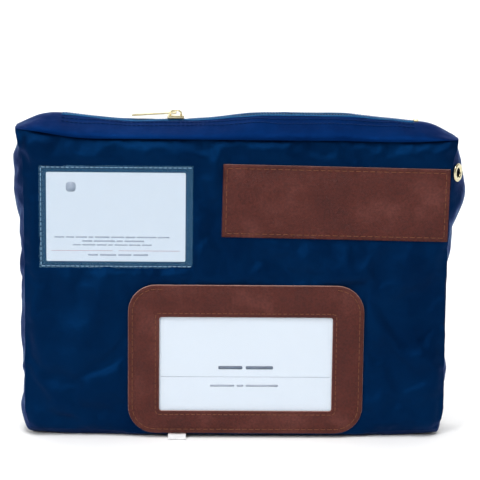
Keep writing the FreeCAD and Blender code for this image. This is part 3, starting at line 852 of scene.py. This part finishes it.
def crest_wave(x):
    """The shut zip isn't quite level: it stands up at its left end and dips before the slider."""
    high = 2.3 * math.exp(-((x - ZIP_LEFT - 4) / 22) ** 2)
    low = 0.9 * math.exp(-((x - MOUTH_LEFT + 26) / 16) ** 2)
    right = 0.8 * math.exp(-((x - ZIP_RIGHT + 10) / 14) ** 2)
    return high - low + right


def end_drop(x):
    """Share of the crest's height that is left past the ends of the zip."""
    corner = HALF_W + TOP_FLARE
    left = min(1.0, max(0.0, (corner + x) / (corner + ZIP_LEFT - 2)))
    right = min(1.0, max(0.0, (corner - x) / (corner - ZIP_RIGHT - 2)))
    return math.sin(left * math.pi / 2) ** 0.62 if x < 0 else math.sin(right * math.pi / 2) ** 0.95


def band_point(x, s, side, lift=0.0):
    """Point on the top band: side -1 is the front half, +1 the back half."""
    y, z = soft_profile(s)
    before = soft_profile(max(0, s - 0.02))
    after = soft_profile(min(1, s + 0.02))
    slope = Vector((after[0] - before[0], after[1] - before[1])).normalized()
    y -= slope.y * lift
    z += slope.x * lift
    ripple = wobble(x * 0.045, s * 2.0, 5.0 + side) * 0.9 * s * (1 - s) * 4
    ripple += wobble(x * 0.11, s * 3.0, 15.0 + side) * 0.4 * s * (1 - s) * 4
    z += ripple + crest_wave(x) * s
    angle = mouth_weight(x) * MOUTH_ANGLE
    turned_y = y * math.cos(angle) - z * math.sin(angle)
    turned_z = y * math.sin(angle) + z * math.cos(angle)
    drop = end_drop(x)
    rise = fold_rise(x) * (1 - 0.3 * s)
    return (x, side * (INNER_Y - turned_y), FOLD_Z + turned_z * drop + rise)


RUNS = [("closed", ZIP_LEFT, MOUTH_LEFT), ("near", MOUTH_LEFT, MOUTH_MID), ("far", MOUTH_MID, ZIP_RIGHT)]


def attach_run(item, run):
    """Closed run on the bag; the two mouth runs only have their placement baked into their meshes."""
    if run == "closed":
        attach(item, "bag")
    elif run == "near":
        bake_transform(item)
    else:
        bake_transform(item)


def cloth_run(name, start, end, side, s_from, s_to, lift, thickness, material, rows=12, step=1.6):
    """A length of cloth along the band, between two shares of the way from the fold to the teeth."""
    columns = max(2, int((end - start) / step))
    grid = [[band_point(mix(start, end, c / columns), mix(s_from, s_to, r / rows), side, lift)
             for c in range(columns + 1)] for r in range(rows + 1)]
    return sheet_mesh(name, grid, thickness, material, (0, side, 1), material)


def run_cut(start, end, side, s_from, s_to, steps=12):
    """Length and width a strip was cut to: its run, and the band's outline at the middle of it."""
    middle = (start + end) / 2
    outline = [Vector(band_point(middle, mix(s_from, s_to, k / steps), side)) for k in range(steps + 1)]
    return ((end - start) * MM, sum((b - a).length for a, b in zip(outline, outline[1:])) * MM)


def tooth_mesh(x, side):
    """One moulded tooth: a short bar that grips the tape's edge and ends in a rounded head."""
    base = Vector(band_point(x, 0.86, side))
    tip = Vector(band_point(x, 1.0, side))
    out = (tip - base).normalized()
    up = out.cross(Vector((1, 0, 0))) * side
    if up.z < 0:
        up = -up
    sections = ((-0.2, 0.36, 0.80), (0.30, 0.42, 1.0), (0.62, 0.40, 0.9),
                (0.85, 0.28, 0.7), (1.02, 0.50, 0.66), (1.12, 0.42, 0.5))
    verts = []
    for share, wide, tall in sections:
        centre = base.lerp(tip, share)
        for dx, dz in ((-1, -1), (1, -1), (1, 1), (-1, 1)):
            verts.append(centre + Vector((wide * dx, 0, 0)) * 0.9 + up * (tall * dz))
    faces = grid_faces(len(sections), 4, closed=True)
    faces.append((3, 2, 1, 0))
    last = 4 * (len(sections) - 1)
    faces.append((last, last + 1, last + 2, last + 3))
    return verts, faces


def tooth_run(name, start, end, side, pitch=1.8):
    """Teeth at an even pitch, the back row half a pitch on from the front, on the cord that carries them."""
    teeth = []
    shift = 0.0 if side < 0 else pitch / 2
    index = math.ceil((start + 0.4 - ZIP_LEFT) / pitch)
    while ZIP_LEFT + index * pitch + shift < end - 0.3:
        teeth.append(tooth_mesh(ZIP_LEFT + index * pitch + shift, side))
        index += 1
    cord_points = [Vector(band_point(mix(start, end, k / 60), 0.86, side)) for k in range(61)]
    item = joined(name, teeth + [tube(cord_points, 0.62)], TEETH)
    soften = item.modifiers.new("soften", "BEVEL")
    soften.width = 0.16 * MM
    soften.segments = 2
    soften.limit_method = "ANGLE"
    return bake(item)


STANDS_FOR = {"closed": "_closed", "near": "_lip"}


def make_zip():
    """Strips, tapes, teeth and sewing of both sides, each in three runs along the zip."""
    for side, side_name in ((-1, "front"), (1, "back")):
        for run, start, end in RUNS:
            label = side_name + "_" + run
            strip = cloth_run(label + "_strip", start, end, side, 0.0, 0.70, 0.35, 0.4, NAVY_STRIP)
            tape = cloth_run(label + "_tape", start, end, side, 0.52, 0.895, 0.0, 0.35, TAPE)
            teeth = tooth_run(label + "_teeth", start, end, side)
            seams = []
            for s in (0.50, 0.63):
                path = [band_point(mix(start, end, k / 40), s, side, 0.45) for k in range(41)]
                seams += stitch_row(path, 2.7, 0.72, Vector((0, 0.35 * side, 0.9)))
            sewing = joined(label + "_topstitch", seams, THREAD_NAVY)
            if run in STANDS_FOR:
                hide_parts(side_name + STANDS_FOR[run] + "_tape")
                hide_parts(side_name + STANDS_FOR[run] + "_teeth")
            for item in (strip, tape, teeth, sewing):
                attach_run(item, run)
            run_cut(start, end, side, 0.0, 0.70)


def make_end_tab(name, side, gusset):
    """Cloth that closes the zip's end and runs down to the corner of the bag."""
    start = ZIP_RIGHT if side > 0 else ZIP_LEFT
    corner = HALF_W + TOP_FLARE
    along = 16
    across = 28
    grid = []
    for r in range(along + 1):
        share = r / along
        row = []
        for k in range(across + 1):
            place = k / across * 2 - 1
            s = 1 - abs(place)
            x = mix(start, side * corner, share)
            p = Vector(band_point(x, min(1.0, s * 1.05), -1 if place < 0 else 1, 0.3))
            if s > 0.95:
                p.y *= 0.4
            meet = Vector(gusset[-1][round((place + 1) / 2 * DEEP)])
            row.append(tuple(p.lerp(meet, smooth(0.55, 1.0, share))))
        grid.append(row)
    item = sheet_mesh(name + "_cloth", grid, 0.5, NAVY_STRIP, (0, 0, 1), LINING)
    finish_piece(item, "bag", "nylon", name)


# ------------------------------------------------------------------ leather, film and cards


def rounded_path(left, right, base, top, radius, arc=10, run=24):
    """Points round a rounded rectangle, anticlockwise from the lower left corner's end."""
    centres = [(right - radius, base + radius, -90), (right - radius, top - radius, 0),
               (left + radius, top - radius, 90), (left + radius, base + radius, 180)]
    corners = []
    for cx, cz, begin in centres:
        angles = [math.radians(begin + 90 * k / arc) for k in range(arc + 1)]
        corners.append([(cx + radius * math.cos(a), cz + radius * math.sin(a)) for a in angles])
    path = []
    for index, corner in enumerate(corners):
        path += corner
        following = corners[(index + 1) % 4][0]
        for k in range(1, run):
            path.append((mix(corner[-1][0], following[0], k / run), mix(corner[-1][1], following[1], k / run)))
    return path


def straight(a, b, steps):
    """Evenly spaced points from a to b."""
    return [tuple(mix(p, q, k / steps) for p, q in zip(a, b)) for k in range(steps + 1)]


def front_grid(low, high, columns, rows, depth):
    """Grid over a piece's front, with its y from depth(x, z)."""
    xs = [mix(low.x, high.x, c / columns) for c in range(columns + 1)]
    zs = [mix(low.z, high.z, r / rows) for r in range(rows + 1)]
    return [[(x, depth(x, z), z) for x in xs] for z in zs]


def paint_edge(item, is_edge):
    """Raw leather on the faces that is_edge(number, face) picks."""
    item.data.materials.append(RAW_EDGE)
    for number, face in enumerate(item.data.polygons):
        if is_edge(number, face):
            face.material_index = 1


def leather_wave(x, z):
    return 0.35 * wobble(x * 0.03, z * 0.04, 55.0)


def make_frame():
    """Leather frame: a ring of soft leather with cut edges, raised a little between its stitch rows.
    Gives back its window's left, right, base and top. The middle of its top edge, where the card goes in,
    isn't sewn."""
    low, high = span("label_frame")
    margin = 12.0
    corners = [v.co / MM for v in frame["nodes"]["label_frame"].data.vertices]
    inside = [p for p in corners if p.y < low.y + 0.05
              and min(p.x - low.x, high.x - p.x, p.z - low.z, high.z - p.z) > margin]
    window_left = min(p.x for p in inside)
    window_right = max(p.x for p in inside)
    window_base = min(p.z for p in inside)
    window_top = max(p.z for p in inside)
    radius = 17.0
    outer = rounded_path(low.x, high.x, low.z, high.z, radius)
    inner = rounded_path(window_left, window_right, window_base, window_top, 1.6)
    count = len(outer)
    rings = []
    profile = [(0.0, -1.95), (0.0, -0.5), (0.008, -0.12), (0.03, 0.0), (0.10, 0.03),
               (0.16, -0.10), (0.22, 0.08), (0.45, 0.30), (0.70, 0.18), (0.84, -0.08),
               (0.92, 0.05), (0.975, 0.0), (0.992, -0.12), (1.0, -0.45), (1.0, -0.95)]
    for share, height in profile:
        ring = []
        wave = 0.5 if 0.0 < share < 1.0 else 0.0
        for a, b in zip(outer, inner):
            x = mix(a[0], b[0], share)
            z = mix(a[1], b[1], share)
            ring.append((x, low.y - height * 0.9 - leather_wave(x, z) * wave, z))
        rings.append(ring)
    verts = [p for ring in rings for p in ring]
    item = mesh_object("label_frame_leather", verts, grid_faces(len(rings), count, closed=True), BROWN)
    cut_rows = (0, 1, len(rings) - 2, len(rings) - 3)
    paint_edge(item, lambda number, face: min(face.vertices) // count in cut_rows)
    if item.data.polygons[count * 7 + 3].normal.y > 0:
        item.data.flip_normals()
    finish_piece(item, "bag", "leather", "label_frame")
    inset = 2.6
    outer_path = rounded_path(low.x + inset, high.x - inset, low.z + inset, high.z - inset, radius - inset)
    path = [(x, low.y - 0.02, z) for x, z in outer_path]
    unsewn = [k for k, p in enumerate(path) if p[2] > high.z - inset - 0.5 and low.x + 20 < p[0] < high.x - 20]
    sew = stitch_row(path[unsewn[-1]:] + path[:unsewn[0]], 4.1, 0.70, FRONT_OUT)
    gap = 2.4
    second = rounded_path(window_left - gap, window_right + gap, window_base - gap, window_top + gap, 2.2)
    ring = [(x, low.y + 0.02, z) for x, z in second]
    sew += stitch_row(ring + [ring[0]], 3.4, 0.66, FRONT_OUT)
    finish_piece(joined("label_frame_stitching", sew, THREAD_BROWN), "bag", "leather")
    return window_left, window_right, window_base, window_top


def smooth_step(t):
    """Spacing that is closer near both ends."""
    return mix(t, t * t * (3 - 2 * t), 0.45)


def make_patch():
    """Marking patch: a leather strip sewn on all round."""
    low, high = span("marking_patch")
    tilt = math.radians(0.9)
    centre = ((low.x + high.x) / 2, (low.z + high.z) / 2)
    wide = (high.x - low.x) / 2 - 0.36
    tall = (high.z - low.z) / 2 - 1.1
    columns = 90
    rows = 30

    def spot(u, v, height):
        x = u * wide
        z = v * tall
        wx = centre[0] + x * math.cos(tilt) + z * math.sin(tilt)
        wz = centre[1] - x * math.sin(tilt) + z * math.cos(tilt)
        return (wx, low.y - height, wz)

    def puff(u, v):
        edge = min((1 - abs(u)) * wide, (1 - abs(v)) * tall)
        groove = -0.16 * math.exp(-((edge - 2.2) / 0.7) ** 2)
        body = 0.35 * smooth(2.5, 11, edge) + 0.10
        round_edge = -0.35 * (1 - smooth(0.0, 0.7, edge)) ** 2
        worn = 0.45 * wobble(u * 3.1, v * 1.2, 12.0) * smooth(2, 10, edge)
        roll = 1.5 * smooth(0.1, -1.0, u) * math.exp(-((v - 0.28) / 0.42) ** 2) * smooth(1.5, 9, edge)
        return groove + body + round_edge + worn + roll

    us = [-1 + 2 * smooth_step(c / columns) for c in range(columns + 1)]
    vs = [-1 + 2 * smooth_step(r / rows) for r in range(rows + 1)]
    grid = [[spot(u, v, puff(u, v)) for u in us] for v in vs]
    verts = [p for row in grid for p in row]
    faces = grid_faces(rows + 1, columns + 1)
    ring = list(range(columns + 1))
    ring += [r * (columns + 1) + columns for r in range(1, rows + 1)]
    ring += [rows * (columns + 1) + c for c in range(columns - 1, -1, -1)]
    ring += [r * (columns + 1) for r in range(rows - 1, 0, -1)]
    start = len(verts)
    verts += [(verts[index][0], FRONT_Y, verts[index][2]) for index in ring]
    count = len(ring)
    sides = [(ring[k], start + k, start + (k + 1) % count, ring[(k + 1) % count]) for k in range(count)]
    item = mesh_object("marking_patch_leather", verts, faces + sides, BROWN)
    paint_edge(item, lambda number, face: number >= len(faces))
    item.data.update()
    if item.data.polygons[len(faces) // 2].normal.y > 0:
        item.data.flip_normals()
    finish_piece(item, "bag", "leather", "marking_patch")
    inset = 2.4
    u_in = 1 - inset / wide
    v_in = 1 - inset / tall
    loop = [(-u_in, -v_in), (u_in, -v_in), (u_in, v_in), (-u_in, v_in), (-u_in, -v_in)]
    sew = []
    for a, b in zip(loop, loop[1:]):
        sew += stitch_row([spot(u, v, 0.02) for u, v in straight(a, b, 12)], 4.3, 0.66, FRONT_OUT)
    finish_piece(joined("marking_patch_stitching", sew, THREAD_BROWN), "bag", "leather")


def make_pocket():
    """Clear pocket: film over the visiting card, sewn at the left, top and base."""
    low, high = span("card_pocket_film")
    card_low, card_high = span("visiting_card")

    def relief(x, z):
        edge = min(x - low.x, z - low.z, high.z - z)
        near_card = min(x - card_low.x, card_high.x - x, z - card_low.z, card_high.z - z) + 3
        over_card = smooth(1.0, 4.0, near_card)
        wave = 0.28 * wobble(x * 0.07, z * 0.09, 80.0) + 0.12 * wobble(x * 0.25, z * 0.21, 88.0)
        rise = 0.25 + 0.72 * max(over_card, smooth(0.5, 5.0, edge) * 0.6)
        return rise + wave * smooth(0.5, 4, edge) * 0.6

    grid = front_grid(low, high, 70, 48, lambda x, z: FRONT_Y - relief(x, z) - 0.05)
    item = sheet_mesh("card_pocket_vinyl", grid, 0.12, FILM, (0, -1, 0))
    finish_piece(item, "bag", "clear_film", "card_pocket_film")
    inset = 1.2
    left, right, base, top = low.x + inset, high.x - inset / 2, low.z + inset, high.z - inset
    corners = [(x, FRONT_Y - 0.5, z) for x, z in ((right, top), (left, top), (left, base), (right, base))]
    sew = []
    for a, b in zip(corners, corners[1:]):
        sew += stitch_row(straight(a, b, 10), 3.0, 0.62, FRONT_OUT)
    finish_piece(joined("card_pocket_stitching", sew, THREAD_PALE), "bag", "clear_film")


def rim_faces(count):
    """Faces between a ring of points and a second ring listed after it."""
    return [(k, k + count, (k + 1) % count + count, (k + 1) % count) for k in range(count)]


def card_sheet(name, node_name, body, bars):
    """A printed card: a thin sheet with small rounded corners, and plain bars in place of any print."""
    low, high = span(node_name)
    path = rounded_path(low.x, high.x, low.z, high.z, 0.8, 6, 8)
    count = len(path)
    front = [(x, low.y, z) for x, z in path]
    rear = [(x, high.y, z) for x, z in path]
    faces = [tuple(range(count)), tuple(reversed(range(count, 2 * count)))]
    item = mesh_object(name, front + rear, faces + rim_faces(count), CARD, smooth_shade=False)
    if item.data.polygons[0].normal.y > 0:
        item.data.flip_normals()
    finish_piece(item, body, "card_stock", node_name)
    groups = {}
    for x, z, wide, tall, ink in bars:
        outline = rounded_path(x, x + wide, z - tall / 2, z + tall / 2, min(tall, wide) * 0.3, 3, 2)
        verts = [(a, low.y - 0.03, b) for a, b in outline] + [(a, low.y, b) for a, b in outline]
        shape = [tuple(range(len(outline)))] + rim_faces(len(outline))
        groups.setdefault(ink.name, (ink, []))[1].append((verts, shape))
    for ink_name, (ink, shapes) in groups.items():
        finish_piece(joined(name + "_" + ink_name, shapes, ink), body, "card_stock")


def words(x, z, tall, widths, ink, gap=1.2):
    """A line of plain bars, one for each word."""
    made = []
    for wide in widths:
        made.append((x, z, wide, tall, ink))
        x += wide + gap
    return made


def make_cards(window):
    """Name card and visiting card, with bars where the print would be, placed from the cards' corners."""
    left, right, base, top = window
    middle = (left + right) / 2
    z = mix(base, top, 0.46)
    name_bars = words(middle - 17, z, 2.1, (15, 17), INK, 2.0)
    name_bars += words(middle - 22, z - 11.5, 1.3, (15, 4, 20), PALE_INK, 1.6)
    name_bars.append((left + 1, z - 5.9, right - left - 2, 0.3, PALE_INK))
    card_sheet("name_card_sheet", "name_card", "name_card_carrier", name_bars)
    low, high = span("visiting_card")
    width = high.x - low.x
    bars = words(low.x + 5, low.z + 15.0, 0.9, (6, 5, 7, 3, 9, 8, 6, 12, 7), PALE_INK, 0.9)
    bars += words(low.x + 22, low.z + 12.6, 0.9, (6, 13, 4, 12), PALE_INK, 0.9)
    bars += words(low.x + 16, low.z + 10.2, 0.8, (5, 8, 6, 3, 8, 7, 6), PALE_INK, 0.9)
    bars.append((low.x + 3, low.z + 6.6, width * 0.44, 0.28, ROSE_INK))
    bars.append((low.x + width * 0.52, low.z + 6.6, width * 0.44, 0.28, ROSE_INK))
    bars += words(low.x + width * 0.30, low.z + 4.0, 1.1, (6, 10, 8, 9), PALE_INK, 1.2)
    bars.append((low.x + 12, high.z - 9, 6, 6, PALE_INK))
    card_sheet("visiting_card_sheet", "visiting_card", "visiting_card_carrier", bars)


def make_window_film():
    low, high = span("window_film")
    grid = front_grid(low, high, 40, 26, lambda x, z: low.y - 0.02 + 0.05 * wobble(x * 0.05, z * 0.05, 2.0))
    item = sheet_mesh("window_film_sheet", grid, 0.12, WINDOW_FILM, (0, -1, 0))
    finish_piece(item, "bag", "clear_film", "window_film")


def make_tag():
    """Ribbon folded in two and sewn into the base seam, lying forwards on what the bag stands on.
    Gives back the piece, and the width and length its ribbon was cut to."""
    low, high = span("seam_tag")
    upper = [(high.y + 0.2, high.z - 0.45), (mix(high.y, low.y, 0.5), high.z - 1.5),
             (low.y + 0.75, low.z + 0.80)]
    turn = [(low.y + 0.35, low.z + 0.62), (low.y + 0.55, low.z + 0.38)]
    lower = [(mix(high.y, low.y, 0.55), high.z - 2.05), (high.y + 0.2, high.z - 0.95)]
    path = [Vector((0, y, z)) for y, z in upper + turn + lower]
    finer = []
    for first, second in zip(path, path[1:]):
        finer += [first.lerp(second, k / 5) for k in range(5)]
    finer.append(path[-1])
    across = 8
    grid = [[(mix(low.x, high.x, c / across), p.y, p.z + 0.07 * math.sin(c * 0.9)) for c in range(across + 1)]
            for p in finer]
    cut_length = sum((b - a).length for a, b in zip(finer, finer[1:]))
    item = sheet_mesh("seam_tag_ribbon", grid, 0.2, RIBBON, (0, 0, 1))
    finish_piece(item, "bag", "white_ribbon", "seam_tag")
    return item, (high.x - low.x, cut_length)


# ------------------------------------------------------------------ putting it together

front_edge = panel_grid(front_point)
back_edge = panel_grid(back_point)
left_edge = gusset_grid(-1, front_edge, back_edge)
right_edge = gusset_grid(1, front_edge, back_edge)
shell = build_shell(front_edge, back_edge, left_edge, right_edge)
settle(shell)
cloths = {label: panel_piece(shell, label) for label in shell.faces}
seam_strip("front_seam_binding", -1, front_edge)
seam_strip("back_seam_binding", 1, back_edge)
make_zip()
make_end_tab("left_end_tab", -1, left_edge)
make_end_tab("right_end_tab", 1, right_edge)
window_box = make_frame()
make_patch()
make_pocket()
make_window_film()
make_cards(window_box)
tag, tag_cut = make_tag()

for label, piece, rounding, body in (
        ("left_end_stop", "left_end_stop_metal", 0.5, "bag"),
        ("right_end_stop", "right_end_stop_metal", 0.5, "bag"),
        ("slider_body", "slider_shell", 0.45, "slider"), ("slider_crown", "slider_arch", 0.3, "slider"),
        ("pull_tab", "pull_plate", 0.3, "pull"), ("eyelet", "eyelet_ring", 0.2, "bag")):
    brass_copy(label, piece, rounding, body)
washer = frame["nodes"]["eyelet_washer"].data.materials
washer.clear()
washer.append(BRASS)

# ------------------------------------------------------------------ floor, light and camera


def make_stage():
    """Pale floor that sweeps up into a pale wall far behind."""
    flat, radius, half, wall = 900.0, 700.0, 3000.0, 3200.0
    angles = [math.radians(a) for a in range(6, 91, 6)]
    profile = [(-half, 0.0), (flat, 0.0)]
    profile += [(flat + radius * math.sin(a), radius - radius * math.cos(a)) for a in angles]
    profile.append((flat + radius, wall))
    points = [(x, y, z) for y, z in profile for x in (-half, half)]
    item = mesh_object("studio_floor", points, grid_faces(len(profile), 2),
                       speckled("pale_floor", (0.86, 0.86, 0.86), (0.88, 0.88, 0.88), 0.95, 3.0))


make_stage()


def aim(item, direction, roll=0.0):
    """Turn a light or the camera to look along a direction."""
    item.rotation_mode = "QUATERNION"
    turn = Matrix.Rotation(roll, 4, "Z").to_quaternion()
    item.rotation_quaternion = direction.to_track_quat("-Z", "Y") @ turn


def from_angles(azimuth, elevation):
    """Unit vector from the bag out; azimuth 0 is the front, and positive is to the right."""
    a = math.radians(azimuth)
    e = math.radians(elevation)
    return Vector((math.sin(a) * math.cos(e), -math.cos(a) * math.cos(e), math.sin(e)))


def area_light(name, place, target, size, power):
    light = bpy.data.lights.new(name, "AREA")
    light.shape = "RECTANGLE"
    light.size, light.size_y = size
    light.energy = power
    item = add_object(name, light)
    item.location = place
    aim(item, Vector(target) - Vector(place))


def soft_sun(name, azimuth, elevation, strength, spread):
    """Even light from far away, from the given angles."""
    light = bpy.data.lights.new(name, "SUN")
    light.energy = strength
    light.angle = math.radians(spread)
    aim(add_object(name, light), -from_angles(azimuth, elevation))


soft_sun("key_light", -34, 30, 1.45, 14)
soft_sun("high_light", 12, 62, 1.9, 30)
area_light("edge_softbox", (-0.25, 0.1, 1.0), (0, 0, 0.15), (0.5, 0.3), 3.0)

world = bpy.data.worlds.new("studio")
bpy.context.scene.world = world
world.use_nodes = True
surround = world.node_tree.nodes["Background"].inputs
surround["Color"].default_value = (1, 1, 1, 1)
surround["Strength"].default_value = 0.36

LENS = 135.0
SENSOR = 36.0
VIEW_WIDTH = 0.2945
ROLL = math.radians(0.66)
target = Vector((0.0020, FRONT_Y * MM, 0.1255))
backwards = from_angles(-1.5, 10.0)
camera_data = bpy.data.cameras.new("camera")
camera_data.lens = LENS
camera_data.sensor_width = SENSOR
camera_data.clip_start = 0.01
camera = add_object("camera", camera_data)
camera.location = target + backwards * VIEW_WIDTH * LENS / SENSOR
aim(camera, -backwards, ROLL)
bpy.context.scene.camera = camera
bpy.context.scene.view_settings.view_transform = "Standard"

bpy.context.view_layer.update()
